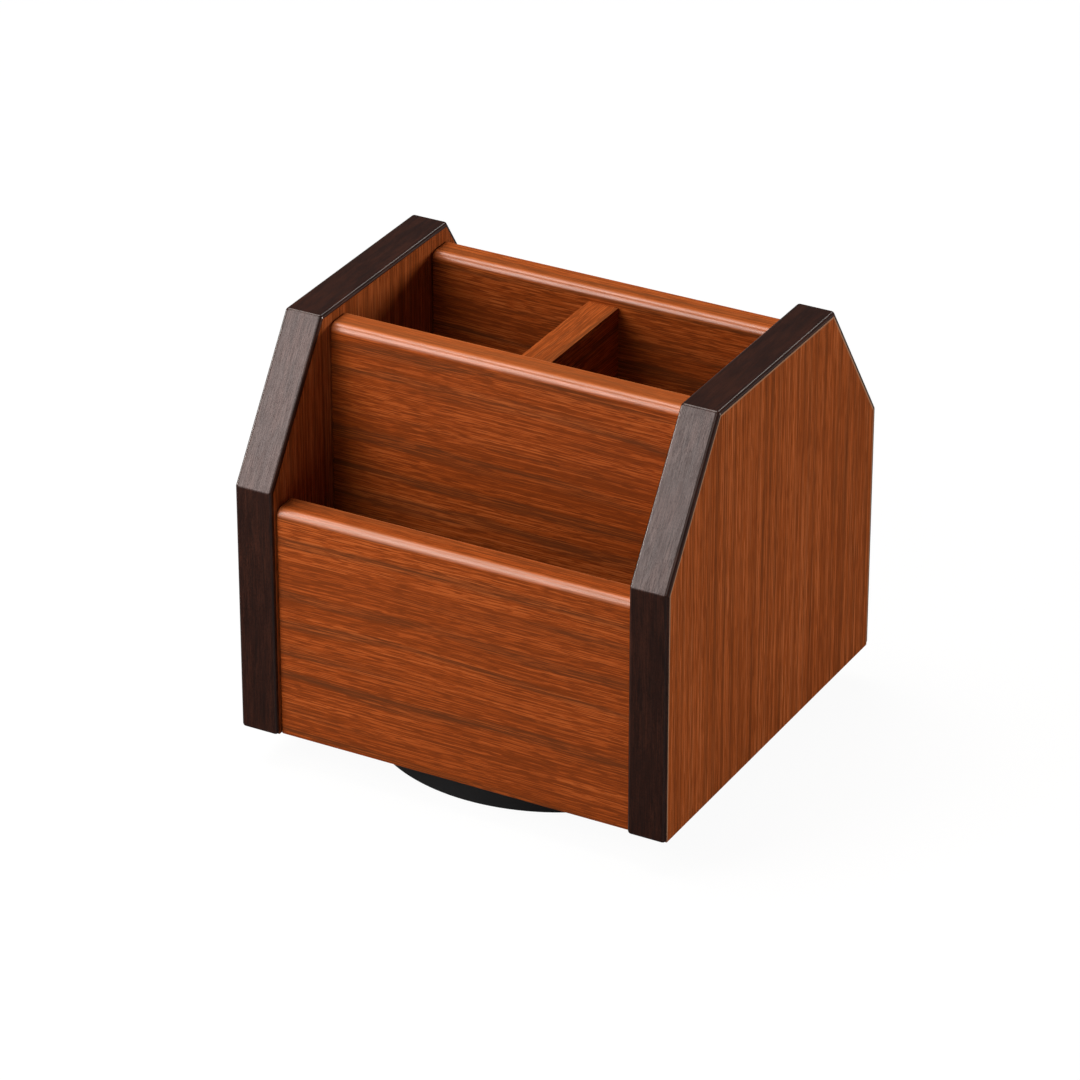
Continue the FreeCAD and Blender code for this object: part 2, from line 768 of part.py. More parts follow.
# Check the whole document, then write one file for each sub-part
doc.recompute()
for item in doc.Objects:
    if "Invalid" in item.State or "Error" in item.State:
        raise RuntimeError(f"{item.Label} failed: {item.State}")
for piece in pieces:
    if piece.Shape.isNull() or not piece.Shape.isValid() or not piece.Shape.Solids:
        raise RuntimeError(f"{piece.Label} has no valid solid")
os.makedirs("parts", exist_ok=True)
for piece in pieces:
    piece.Shape.exportStep(f"parts/{piece.Label}.step")
    print(piece.Label, len(piece.Shape.Solids), round(piece.Shape.Volume, 1))
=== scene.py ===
import math
import bmesh
import bpy
from mathutils import Matrix, Vector


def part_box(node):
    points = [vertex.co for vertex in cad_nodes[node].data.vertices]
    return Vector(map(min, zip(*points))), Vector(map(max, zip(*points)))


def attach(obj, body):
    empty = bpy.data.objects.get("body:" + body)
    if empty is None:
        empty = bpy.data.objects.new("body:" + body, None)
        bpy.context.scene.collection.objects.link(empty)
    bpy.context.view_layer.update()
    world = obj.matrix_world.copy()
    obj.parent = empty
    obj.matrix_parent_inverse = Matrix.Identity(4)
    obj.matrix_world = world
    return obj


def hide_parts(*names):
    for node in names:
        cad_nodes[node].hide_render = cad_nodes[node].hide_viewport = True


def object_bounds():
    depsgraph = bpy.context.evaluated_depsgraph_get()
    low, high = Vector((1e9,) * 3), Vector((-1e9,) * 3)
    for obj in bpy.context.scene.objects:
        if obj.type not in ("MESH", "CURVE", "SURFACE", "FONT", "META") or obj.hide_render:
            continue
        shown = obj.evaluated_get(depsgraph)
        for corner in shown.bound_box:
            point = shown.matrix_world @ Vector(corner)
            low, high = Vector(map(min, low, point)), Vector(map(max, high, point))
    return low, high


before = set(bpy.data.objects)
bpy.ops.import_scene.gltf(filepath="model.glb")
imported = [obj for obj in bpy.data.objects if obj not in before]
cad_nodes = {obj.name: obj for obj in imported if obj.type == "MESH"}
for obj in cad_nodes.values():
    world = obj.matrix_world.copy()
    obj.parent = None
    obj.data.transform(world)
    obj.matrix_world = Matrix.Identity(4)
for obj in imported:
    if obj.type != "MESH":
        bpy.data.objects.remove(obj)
cad_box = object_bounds()


# ---- Turntable base ----
# A round injection-moulded foot of black ABS, with a thin wall, ribs underneath and a hub.
# It stands still on the desk while the cabinet turns on it.

def put(tree, kind, feeds=None, **settings):
    """Adds a node, sets its properties, and feeds its inputs with sockets or plain values."""
    made = tree.nodes.new(kind)
    for name, value in settings.items():
        setattr(made, name, value)
    for name, value in (feeds or {}).items():
        if isinstance(value, bpy.types.NodeSocket):
            tree.links.new(value, made.inputs[name])
        else:
            made.inputs[name].default_value = value
    return made


def calc(tree, operation, *values):
    """One Math node on sockets or numbers; gives its output."""
    return put(tree, "ShaderNodeMath", dict(enumerate(values)), operation=operation).outputs[0]


def spread(tree, value, low, high, to_low=0.0, to_high=1.0):
    """Stretches the part of a value between low and high over a new range, smoothly at both ends."""
    feeds = {"Value": value, "From Min": low, "From Max": high, "To Min": to_low, "To Max": to_high}
    return put(tree, "ShaderNodeMapRange", feeds, interpolation_type="SMOOTHSTEP").outputs[0]


def scaled(tree, vector, factors):
    """Multiplies a place by one factor for each axis."""
    return put(tree, "ShaderNodeVectorMath", {0: vector, 1: factors}, operation="MULTIPLY").outputs[0]


def noise(tree, vector, detail=2.0, rough=0.5):
    """Soft noise of one cell per unit of the place it is given."""
    feeds = {"Vector": vector, "Scale": 1.0, "Detail": detail, "Roughness": rough}
    return put(tree, "ShaderNodeTexNoise", feeds)


def effect(name, inputs, outputs):
    """A new shader node group, from a place and named lengths in metres to named numbers.

    Gives its tree, what comes in and what goes out.
    """
    tree = bpy.data.node_groups.new(name, "ShaderNodeTree")
    tree.interface.new_socket(name="Place", in_out="INPUT", socket_type="NodeSocketVector")
    for label, length in inputs.items():
        socket = tree.interface.new_socket(name=label, in_out="INPUT", socket_type="NodeSocketFloat")
        socket.default_value = length
    for label in outputs:
        tree.interface.new_socket(name=label, in_out="OUTPUT", socket_type="NodeSocketFloat")
    return tree, tree.nodes.new("NodeGroupInput").outputs, tree.nodes.new("NodeGroupOutput").inputs


def use(tree, group, **feeds):
    """Places an effect group in a material, with its inputs fed by name."""
    return put(tree, "ShaderNodeGroup", feeds, node_tree=group).outputs


def material(name, **constants):
    """A new material; gives it, its node tree, its shader's inputs and the object's own coordinates."""
    made = bpy.data.materials.new(name)
    made.use_nodes = True
    tree = made.node_tree
    shader = tree.nodes["Principled BSDF"]
    for socket, value in constants.items():
        shader.inputs[socket.replace("_", " ")].default_value = value
    place = tree.nodes.new("ShaderNodeTexCoord").outputs["Object"]
    return made, tree, shader.inputs, place


def finish_with(made, *names):
    """Gives the named CAD nodes one material."""
    for name in names:
        mesh = cad_nodes[name].data
        mesh.materials.clear()
        mesh.materials.append(made)


def bumped(tree, sockets, height, depth):
    """Feeds a height, of the given depth in metres, to the shader as relief."""
    feeds = {"Height": height, "Distance": depth, "Strength": 1.0}
    tree.links.new(put(tree, "ShaderNodeBump", feeds).outputs["Normal"], sockets["Normal"])


def tinted(tree, sockets, factor, first, second):
    """Base colour that goes from one tone to another with a factor."""
    mix = put(tree, "ShaderNodeMix", {"Factor": factor}, data_type="RGBA")
    mix.inputs[6].default_value = (*first, 1)
    mix.inputs[7].default_value = (*second, 1)
    tree.links.new(mix.outputs[2], sockets["Base Color"])


def faded(tree, factor, colour, towards):
    """A colour that fades towards a fixed one with a factor; gives the mixed colour."""
    mix = put(tree, "ShaderNodeMix", {"Factor": factor}, data_type="RGBA")
    tree.links.new(colour, mix.inputs[6])
    mix.inputs[7].default_value = (*towards, 1)
    return mix.outputs[2]


def corners(tree, reach):
    """Finds the corners within reach, from 0 on the flat to 1 on a sharp edge."""
    soft = put(tree, "ShaderNodeBevel", {"Radius": reach}, samples=4).outputs[0]
    hard = tree.nodes.new("ShaderNodeNewGeometry").outputs["True Normal"]
    turn = put(tree, "ShaderNodeVectorMath", {0: soft, 1: hard}, operation="DOT_PRODUCT").outputs["Value"]
    return spread(tree, calc(tree, "SUBTRACT", 1.0, turn), 0.02, 0.30)


def cells(tree, place, size):
    """Divides a place by a size, so that one unit of it is one cell."""
    per_cell = calc(tree, "DIVIDE", 1.0, size)
    return put(tree, "ShaderNodeVectorMath", {0: place, "Scale": per_cell}, operation="SCALE").outputs[0]


# Fine spark-eroded texture, slow blotches and rubbed corners, for everything that is moulded.
tree, given, out = effect(
    "moulded_skin", {"Grain Size": 0.0004, "Rub": 0.0006}, ("Blotch", "Grain", "Rubbed"),
)
fine = cells(tree, given["Place"], given["Grain Size"])
tree.links.new(noise(tree, fine, detail=1.0).outputs["Fac"], out["Grain"])
blotches_per_metre = (70, 70, 70)
blotchy = scaled(tree, given["Place"], blotches_per_metre)
blotch = noise(tree, blotchy, detail=3.0, rough=0.6).outputs["Fac"]
tree.links.new(spread(tree, blotch, 0.3, 0.7), out["Blotch"])
wear_and_painted_light = calc(tree, "MULTIPLY", corners(tree, given["Rub"]), spread(tree, blotch, 0.40, 0.62))
tree.links.new(wear_and_painted_light, out["Rubbed"])
moulded_skin = tree


def moulded(name, dark, light, smooth, rough, grain_size, relief):
    """A moulded plastic or rubber: two tones in blotches, a fine skin and polished corners."""
    made, tree, sockets, place = material(name)
    skin = use(tree, moulded_skin, Place=place, **{"Grain Size": grain_size})
    tinted(tree, sockets, skin["Blotch"], dark, light)
    hand_polish = 0.15
    matt = spread(tree, skin["Blotch"], 0, 1, rough, smooth)
    polished = calc(tree, "MULTIPLY", skin["Rubbed"], hand_polish)
    tree.links.new(calc(tree, "SUBTRACT", matt, polished), sockets["Roughness"])
    bumped(tree, sockets, skin["Grain"], relief)
    return made


black_plastic = moulded(
    "black_plastic", dark=(0.009, 0.009, 0.010), light=(0.014, 0.014, 0.015),
    smooth=0.28, rough=0.40, grain_size=0.0005, relief=0.00002,
)
finish_with(black_plastic, "base_disc")


# ---- Feet ----
# Four round pads of grey rubber, pressed into the underside of the base.
# They are matt, a little dusty, and polished where they touch the desk.

grey_rubber = moulded(
    "grey_rubber", dark=(0.040, 0.040, 0.041), light=(0.065, 0.064, 0.062),
    smooth=0.75, rough=0.92, grain_size=0.0003, relief=0.00003,
)
finish_with(grey_rubber, "base_feet")


# ---- Pivot rivet, washer and turntable plate ----
# Pressed and turned steel, zinc plated after forming.
# The rivet is peened over the washer and holds the base and the plate together on the swivel axis.

tree, given, out = effect(
    "zinc_skin", {"Spangle Size": 0.002, "Rub": 0.0004}, ("Spangle", "Scratches", "Rubbed"),
)
spangled = cells(tree, given["Place"], given["Spangle Size"])
crystal = put(tree, "ShaderNodeTexVoronoi", {"Vector": spangled, "Scale": 1.0}).outputs["Color"]
tree.links.new(put(tree, "ShaderNodeSeparateColor", {"Color": crystal}).outputs[0], out["Spangle"])
scratches_per_metre = (260, 2600, 1400)
scratchy = scaled(tree, given["Place"], scratches_per_metre)
scratch = noise(tree, scratchy, rough=0.7).outputs["Fac"]
tree.links.new(spread(tree, scratch, 0.58, 0.72), out["Scratches"])
tree.links.new(corners(tree, given["Rub"]), out["Rubbed"])
zinc_skin = tree


def plated(name, dark, light, smooth, rough, spangle_size):
    """Plated steel: crystals of slightly different tone, light scratches and brighter corners."""
    scratch_depth = 0.000008
    made, tree, sockets, place = material(name, Metallic=1.0)
    skin = use(tree, zinc_skin, Place=place, **{"Spangle Size": spangle_size})
    light_part = calc(tree, "MAXIMUM", skin["Spangle"], skin["Rubbed"])
    tinted(tree, sockets, light_part, dark, light)
    tree.links.new(spread(tree, skin["Scratches"], 0, 1, smooth, rough), sockets["Roughness"])
    bumped(tree, sockets, calc(tree, "SUBTRACT", 1.0, skin["Scratches"]), scratch_depth)
    return made


zinc_steel = plated(
    "zinc_steel", dark=(0.50, 0.51, 0.53), light=(0.68, 0.69, 0.70),
    smooth=0.26, rough=0.42, spangle_size=0.0015,
)
finish_with(zinc_steel, "pivot_rivet", "pivot_washer", "turntable_plate")


# ---- Ball ring ----
# Twelve polished steel balls in a flat ring of natural nylon.
# The ring rolls round between the races at half the cabinet's speed.

ball_steel = plated(
    "ball_steel", dark=(0.66, 0.66, 0.67), light=(0.76, 0.76, 0.77),
    smooth=0.06, rough=0.16, spangle_size=0.004,
)
finish_with(ball_steel, "bearing_balls")
nylon = moulded(
    "nylon", dark=(0.62, 0.60, 0.54), light=(0.74, 0.72, 0.67),
    smooth=0.34, rough=0.48, grain_size=0.0006, relief=0.00002,
)
finish_with(nylon, "ball_cage")


# ---- Plate screws ----
# Four countersunk wood screws with a cross recess, zinc plated.
# They go up through the turntable plate into the bottom board.

def turned(profile, thread):
    """Vertices and faces of a round bar along +Z from (radius, level) rows, with a helical thread.

    thread is (first level, last level, pitch, depth). The first and last rows close on the axis.
    """
    sides = 28
    points, faces = [], []
    first, last, pitch, depth = thread
    for radius, level in profile:
        for step in range(sides):
            angle = math.tau * step / sides
            here = radius
            if first <= level <= last:
                phase = (level / pitch - step / sides) % 1.0
                here += depth * (1.0 - abs(phase * 2 - 1) * 2)
            points.append((here * math.cos(angle), here * math.sin(angle), level))
    for row in range(len(profile) - 1):
        for step in range(sides):
            after = (step + 1) % sides
            low, high = row * sides, (row + 1) * sides
            faces.append((low + step, low + after, high + after, high + step))
    for row, level in ((0, profile[0][1]), (len(profile) - 1, profile[-1][1])):
        centre = len(points)
        points.append((0, 0, level))
        for step in range(sides):
            ring = (row * sides + step, row * sides + (step + 1) % sides)
            faces.append((centre, ring[1], ring[0]) if row == 0 else (centre, ring[0], ring[1]))
    return points, faces


def piece(name, points, faces):
    """A new object at the origin from vertices and faces."""
    mesh = bpy.data.meshes.new(name)
    mesh.from_pydata(points, [], faces)
    mesh.validate()
    made = bpy.data.objects.new(name, mesh)
    bpy.context.scene.collection.objects.link(made)
    return made


def settled(made, name):
    """Replaces an object's mesh with what its modifiers make of it, and drops the modifiers."""
    graph = bpy.context.evaluated_depsgraph_get()
    mesh = bpy.data.meshes.new_from_object(made.evaluated_get(graph))
    made.modifiers.clear()
    made.data = mesh
    made.name = mesh.name = name
    return made


def cross_recess(width, length, depth):
    """A cross-shaped cutter of two tapered blades, let into a head's face at level 0.

    Its tip and mouth are each a half-width, a half-length and a level.
    """
    tip = (width * 0.5, length * 0.18, depth)
    mouth = (width * 0.6, length * 0.5, -depth * 0.5)
    walls = [(i, i + 4, (i + 1) % 4 + 4, (i + 1) % 4) for i in range(4)]
    points, faces = [], []
    for crosswise in (False, True):
        start = len(points)
        for across, along, level in (tip, mouth):
            for x, y in ((-1, -1), (1, -1), (1, 1), (-1, 1)):
                flat = (x * across, y * along)
                spot = (flat[1], -flat[0]) if crosswise else flat
                points.append((*spot, level))
        for quad in [(0, 1, 2, 3), (7, 6, 5, 4)] + walls:
            faces.append(tuple(start + i for i in quad))
    return points, faces


def screw(name, rows, recess, thread):
    """One screw along +Z, with its head's face and cross recess at level 0, and a thread on its shank."""
    sharp_from = math.radians(32)
    made = piece(name, *turned(rows, thread))
    cutter = piece(name + "_cutter", *cross_recess(*recess))
    for solid in (made, cutter):
        work = bmesh.new()
        work.from_mesh(solid.data)
        bmesh.ops.recalc_face_normals(work, faces=work.faces)
        work.to_mesh(solid.data)
        work.free()
    cut = made.modifiers.new("recess", "BOOLEAN")
    cut.operation, cut.solver, cut.use_self, cut.object = "DIFFERENCE", "EXACT", True, cutter
    settled(made, name)
    made.data.shade_smooth()
    made.data.set_sharp_from_angle(angle=sharp_from)
    bpy.data.objects.remove(cutter)
    return made


plate_screw_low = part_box("plate_screws")[0].z
plate_screw_length, point_length, point_radius = 0.0095, 0.0012, 0.0001
head_radius, shank_radius, thread_depth, pitch = 0.0030, 0.00125, 0.00025, 0.0011
cone = head_radius - shank_radius
thread_start, thread_step = cone + 0.0006, 0.000092
thread_rows = [thread_start + thread_step * step for step in range(70)]
recess_width, recess_length, recess_depth = 0.0008, 0.0036, 0.0013
plate_screw_rows = [
    (head_radius - 0.0002, 0.0),
    (head_radius, 0.0001),
    (head_radius - 0.00015, 0.0003),
    (shank_radius, cone + 0.0002),
    *((shank_radius, level) for level in thread_rows),
    (shank_radius * 0.9, plate_screw_length - point_length),
    (point_radius, plate_screw_length),
]
plate_screw = screw(
    "plate_screw_set",
    plate_screw_rows,
    (recess_width, recess_length, recess_depth),
    (thread_rows[0], thread_rows[-1], pitch, thread_depth),
)

screw_ring = bpy.data.node_groups.new("screws_on_a_circle", "GeometryNodeTree")
screw_ring.interface.new_socket(name="Screw", in_out="INPUT", socket_type="NodeSocketGeometry")
sizes = {}
for label, kind, start in (
    ("Count", "NodeSocketInt", 4),
    ("Circle Radius", "NodeSocketFloat", 0.024),
    ("Level", "NodeSocketFloat", plate_screw_low),
    ("Seed", "NodeSocketInt", 5),
    ("Finish", "NodeSocketMaterial", None),
):
    sizes[label] = screw_ring.interface.new_socket(name=label, in_out="INPUT", socket_type=kind)
    if start is not None:
        sizes[label].default_value = start
screw_ring.interface.new_socket(name="Geometry", in_out="OUTPUT", socket_type="NodeSocketGeometry")
given = screw_ring.nodes.new("NodeGroupInput").outputs
feeds = {"Vertices": given["Count"], "Radius": given["Circle Radius"]}
circle = put(screw_ring, "GeometryNodeMeshCircle", feeds)
lift = put(screw_ring, "ShaderNodeCombineXYZ", {"Z": given["Level"]}).outputs[0]
raised = put(screw_ring, "GeometryNodeSetPosition", {"Geometry": circle.outputs[0], "Offset": lift})
spin = put(screw_ring, "FunctionNodeRandomValue", {"Seed": given["Seed"]}, data_type="FLOAT")
spin.inputs[3].default_value = math.tau
about = put(screw_ring, "ShaderNodeCombineXYZ", {"Z": spin.outputs[1]}).outputs[0]
feeds = {"Points": raised.outputs[0], "Instance": given["Screw"], "Rotation": about}
placed = put(screw_ring, "GeometryNodeInstanceOnPoints", feeds)
real = put(screw_ring, "GeometryNodeRealizeInstances", {"Geometry": placed.outputs[0]})
feeds = {"Geometry": real.outputs[0], "Material": given["Finish"]}
coated = put(screw_ring, "GeometryNodeSetMaterial", feeds)
screw_ring.links.new(coated.outputs[0], screw_ring.nodes.new("NodeGroupOutput").inputs[0])

ring = plate_screw.modifiers.new("ring", "NODES")
ring.node_group = screw_ring
ring[sizes["Finish"].identifier] = zinc_steel
settled(plate_screw, "plate_screw_set")
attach(plate_screw, "cabinet")
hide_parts("plate_screws")


# ---- Bottom board ----
# 9 mm particle board in a reddish-brown wood laminate, grain from side to side.
# It carries the turntable plate below and both drawers above.

# The figure of a wood whose grain runs along X. Each length is taken across the grain.
tree, given, out = effect(
    "wood_figure",
    {"Wander": 0.003, "Band": 0.014, "Streak": 0.0110, "Fibre": 0.00043, "Pore": 0.00036},
    ("Bands", "Streaks", "Fibres", "Pores"),
)
swings_per_metre, bends_per_metre, fades_per_metre = (7, 15, 15), (8, 60, 60), (6, 90, 90)
swing = noise(tree, scaled(tree, given["Place"], swings_per_metre)).outputs["Color"]
half = (0.5, 0.5, 0.5)
centred = put(tree, "ShaderNodeVectorMath", {0: swing, 1: half}, operation="SUBTRACT").outputs[0]
reach = calc(tree, "MULTIPLY", given["Wander"], 2.0)
push = put(tree, "ShaderNodeCombineXYZ", {"Y": reach, "Z": reach}).outputs[0]
shove = put(tree, "ShaderNodeVectorMath", {0: centred, 1: push}, operation="MULTIPLY").outputs[0]
flow = put(tree, "ShaderNodeVectorMath", {0: given["Place"], 1: shove}, operation="ADD").outputs[0]
for label, per_metre, detail, rough, low, high in (
    ("Band", 7.0, 2.0, 0.5, 0.34, 0.66),
    ("Fibre", 13.0, 2.0, 0.8, 0.37, 0.63),
    ("Pore", 190.0, 1.0, 0.5, 0.50, 0.62),
):
    count = calc(tree, "DIVIDE", 1.0, given[label])
    stretch = put(tree, "ShaderNodeCombineXYZ", {"X": per_metre, "Y": count, "Z": count}).outputs[0]
    drawn_out = put(tree, "ShaderNodeVectorMath", {0: flow, 1: stretch}, operation="MULTIPLY").outputs[0]
    pattern = noise(tree, drawn_out, detail, rough).outputs["Fac"]
    tree.links.new(spread(tree, pattern, low, high), out[label + "s"])
    if label == "Fibre":
        thready = calc(tree, "MULTIPLY_ADD", spread(tree, pattern, low, high), -0.75, 1.15)

# Heartwood streaks are growth rings cut lengthwise: lines that sway together and fade in and out.
sides = put(tree, "ShaderNodeSeparateXYZ", {0: flow}).outputs
rings = calc(tree, "DIVIDE", calc(tree, "ADD", sides[1], sides[2]), given["Streak"])
bend = noise(tree, scaled(tree, flow, bends_per_metre), detail=3.0, rough=0.6).outputs["Fac"]
sway = 2.2
turns = calc(tree, "MULTIPLY", calc(tree, "MULTIPLY_ADD", bend, sway, rings), math.tau)
line = spread(tree, calc(tree, "SINE", turns), 0.0, 1.0)
fade = noise(tree, scaled(tree, flow, fades_per_metre)).outputs["Fac"]
showing = spread(tree, fade, 0.32, 0.54)
tree.links.new(calc(tree, "MULTIPLY", calc(tree, "MULTIPLY", line, showing), thready), out["Streaks"])
wood_figure = tree

GRAIN_TURN = {"X": (0, 0, 0), "Y": (0, 0, -math.pi / 2), "Z": (0, math.pi / 2, 0)}


def figured(tree, figure, tones, heart, bands, streaks, pores):
    """Colour of a wood figure: bands and fibres through a ramp of tones, then dark heartwood streaks."""
    tone = calc(tree, "MULTIPLY", figure["Bands"], bands)
    tone = calc(tree, "MULTIPLY_ADD", figure["Fibres"], 1.0 - bands, tone)
    tone = calc(tree, "SUBTRACT", tone, calc(tree, "MULTIPLY", figure["Pores"], pores))
    ramp = put(tree, "ShaderNodeValToRGB", {"Fac": tone})
    stops = ramp.color_ramp.elements
    stops[0].position, stops[0].color = tones[0][0], (*tones[0][1], 1)
    stops[1].position, stops[1].color = tones[-1][0], (*tones[-1][1], 1)
    for spot, colour in tones[1:-1]:
        stops.new(spot).color = (*colour, 1)
    dark = calc(tree, "MULTIPLY", figure["Streaks"], streaks)
    return faded(tree, dark, ramp.outputs["Color"], heart)


def wood(
    name, grain, shift, tones, heart, bands=0.28, streaks=0.64, pores=0.60, shine=(0.30, 0.42),
    relief=0.00003, length=1.0, sizes=None, **constants,
):
    """A wood surface with its grain along X, Y or Z.

    Gives the material, its node tree, its shader's inputs and its colour.
    shift moves the cut within the log, and length draws the figure out along the grain.
    """
    fibre_share = 0.5
    made, tree, sockets, place = material(name, **constants)
    feeds = {"Vector": place, "Location": shift, "Rotation": GRAIN_TURN[grain]}
    lengthwise = put(tree, "ShaderNodeMapping", feeds).outputs[0]
    drawn_out = scaled(tree, lengthwise, (1.0 / length, 1.0, 1.0))
    figure = use(tree, wood_figure, Place=drawn_out, **(sizes or {}))
    colour = figured(tree, figure, tones, heart, bands, streaks, pores)
    tree.links.new(colour, sockets["Base Color"])
    tree.links.new(spread(tree, figure["Fibres"], 0, 1, shine[1], shine[0]), sockets["Roughness"])
    ridges = calc(tree, "MULTIPLY", figure["Fibres"], fibre_share)
    bumped(tree, sockets, calc(tree, "SUBTRACT", ridges, figure["Pores"]), relief)
    return made, tree, sockets, colour


REDDISH_BROWN = (
    (0.05, (0.155, 0.031, 0.006)),
    (0.36, (0.228, 0.043, 0.007)),
    (0.62, (0.288, 0.055, 0.009)),
    (0.95, (0.390, 0.092, 0.020)),
)
HEART_BROWN = (0.085, 0.027, 0.009)
# Light brown that the laminate is paled towards on rounded edges and upper faces: painted highlight and
# painted top light.
PAINTED_LIGHT_BROWN = (0.56, 0.165, 0.050)


def facing(tree):
    """The X, Y and Z parts of the direction that a surface faces."""
    normal = tree.nodes["Texture Coordinate"].outputs["Normal"]
    return put(tree, "ShaderNodeSeparateXYZ", {0: normal}).outputs


def laminate(name, grain, shift, painted_top_light=0.0, **more):
    """The cabinet's satin wood laminate, rubbed to a gloss on the rounded edges, which are also paled
    towards a light brown as a painted highlight.

    The last argument is how far the faces turned up are paled towards that light brown, as painted top
    light.
    """
    plain = {"tones": REDDISH_BROWN, "heart": HEART_BROWN, "length": 1.4}
    lacquer = {"Specular_IOR_Level": 0.0, "Coat_Roughness": 0.29, "Coat_IOR": 1.8}
    made, tree, sockets, colour = wood(name, grain, shift, **{**plain, **lacquer, **more})
    flat_gloss, edge_gloss, edge_highlight_strength = 0.04, 0.64, 0.4
    _, front, up = facing(tree)
    rounding = calc(tree, "ABSOLUTE", calc(tree, "MULTIPLY", front, up))
    forward = calc(tree, "MULTIPLY", rounding, calc(tree, "ABSOLUTE", front))
    polish = spread(tree, forward, 0.06, 0.32, flat_gloss, edge_gloss)
    streaky = calc(tree, "MULTIPLY_ADD", tree.nodes["Group"].outputs["Fibres"], 0.30, 0.75)
    tree.links.new(calc(tree, "MULTIPLY", polish, streaky), sockets["Coat Weight"])
    # The rounded edges are paled towards the light brown: a painted highlight.
    edge_highlight_paling = spread(tree, rounding, 0.0, 0.4, 0.0, edge_highlight_strength)
    # The faces turned up are paled the same way: painted top light.
    top_light_paling = spread(tree, up, 0.80, 0.98, 0.0, painted_top_light)
    wear_and_painted_light = faded(tree, calc(tree, "ADD", edge_highlight_paling, top_light_paling), colour, PAINTED_LIGHT_BROWN)
    tree.links.new(wear_and_painted_light, sockets["Base Color"])
    return made, tree, sockets, wear_and_painted_light


finish_with(laminate("board_laminate_bottom", "X", (0.31, 0.02, 0.4))[0], "bottom_board")


# ---- Side panels ----
# Two 15 mm boards cut to a six-cornered outline, laminated with the grain upright.
# The boards between them are glued and dowelled to their inner faces.

SIDE_FIGURE = {"Wander": 0.0010, "Band": 0.008, "Streak": 0.0060, "Fibre": 0.0004}
# The laminate's tones made a little greener and bluer for the sides, standing for the sheen on them:
# painted sheen.
SIDE_SHEEN_BROWN = (
    (0.05, (0.158, 0.037, 0.0090)),
    (0.36, (0.232, 0.050, 0.0100)),
    (0.62, (0.294, 0.066, 0.014)),
    (0.95, (0.400, 0.114, 0.036)),
)
# Pale tone of the line painted along the band: a painted highlight.
EDGE_HIGHLIGHT_TONE = (0.31, 0.17, 0.10)
shoulder_height, plateau_length = 0.098, 0.090


def with_edge_highlight(side, made, tree, sockets, colour):
    """Paints a pale line along the band on the outer faces, standing for light caught by the laminate's
    cut edge: a painted highlight.
    """
    outer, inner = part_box(f"edge_band_{side}"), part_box(f"side_panel_{side}")
    depth, top = outer[1].y, outer[1].z
    run, rise = depth - plateau_length / 2, top - inner[0].z - shoulder_height
    slope = Vector((rise, run)).normalized()
    slope_edge = slope.dot(Vector((plateau_length / 2, top))) - (top - inner[1].z)
    place = tree.nodes["Texture Coordinate"].outputs["Object"]
    _, along, up = put(tree, "ShaderNodeSeparateXYZ", {0: place}).outputs
    forward = calc(tree, "ABSOLUTE", along)
    upright = calc(tree, "MULTIPLY_ADD", up, slope.y, calc(tree, "MULTIPLY", forward, slope.x))
    to_slope = calc(tree, "SUBTRACT", slope_edge, upright)
    to_front = calc(tree, "SUBTRACT", inner[1].y, forward)
    to_top = calc(tree, "SUBTRACT", inner[1].z, up)
    to_band = calc(tree, "MINIMUM", to_slope, calc(tree, "MINIMUM", to_front, to_top))
    # The pale line drawn here is a painted highlight.
    full_width, fade_width, strength = 0.0003, 0.0009, 0.9
    edge_highlight_line = spread(tree, to_band, full_width, fade_width, strength, 0.0)
    outwards = "LESS_THAN" if side == "left" else "GREATER_THAN"
    edge_highlight_line = calc(tree, "MULTIPLY", edge_highlight_line, calc(tree, outwards, facing(tree)[0], 0.0))
    tree.links.new(faded(tree, edge_highlight_line, colour, EDGE_HIGHLIGHT_TONE), sockets["Base Color"])
    return made


straight = {"bands": 0.19, "streaks": 0.42, "pores": 0.5, "length": 2.2, "sizes": SIDE_FIGURE}
for side, shift in (("left", (0.13, 0.07, 0.0)), ("right", (0.72, 0.21, 0.3))):
    board = laminate(f"side_laminate_{side}", "Z", shift, tones=SIDE_SHEEN_BROWN, **straight)
    finish_with(with_edge_highlight(side, *board), f"side_panel_{side}")


# ---- Edge bands ----
# Thick dark-stained band glued round each side panel and routed to a soft arris.
# Its grain follows the outline, and handling has polished the corners.

BAND_FIGURE = {"Wander": 0.0006, "Band": 0.005, "Streak": 0.004, "Fibre": 0.00030}
STAINED_BROWN = (
    (0.1, (0.012, 0.0026, 0.0010)),
    (0.5, (0.021, 0.0050, 0.0020)),
    (0.9, (0.034, 0.0088, 0.0036)),
)
STAINED_HEART = (0.008, 0.0025, 0.0015)


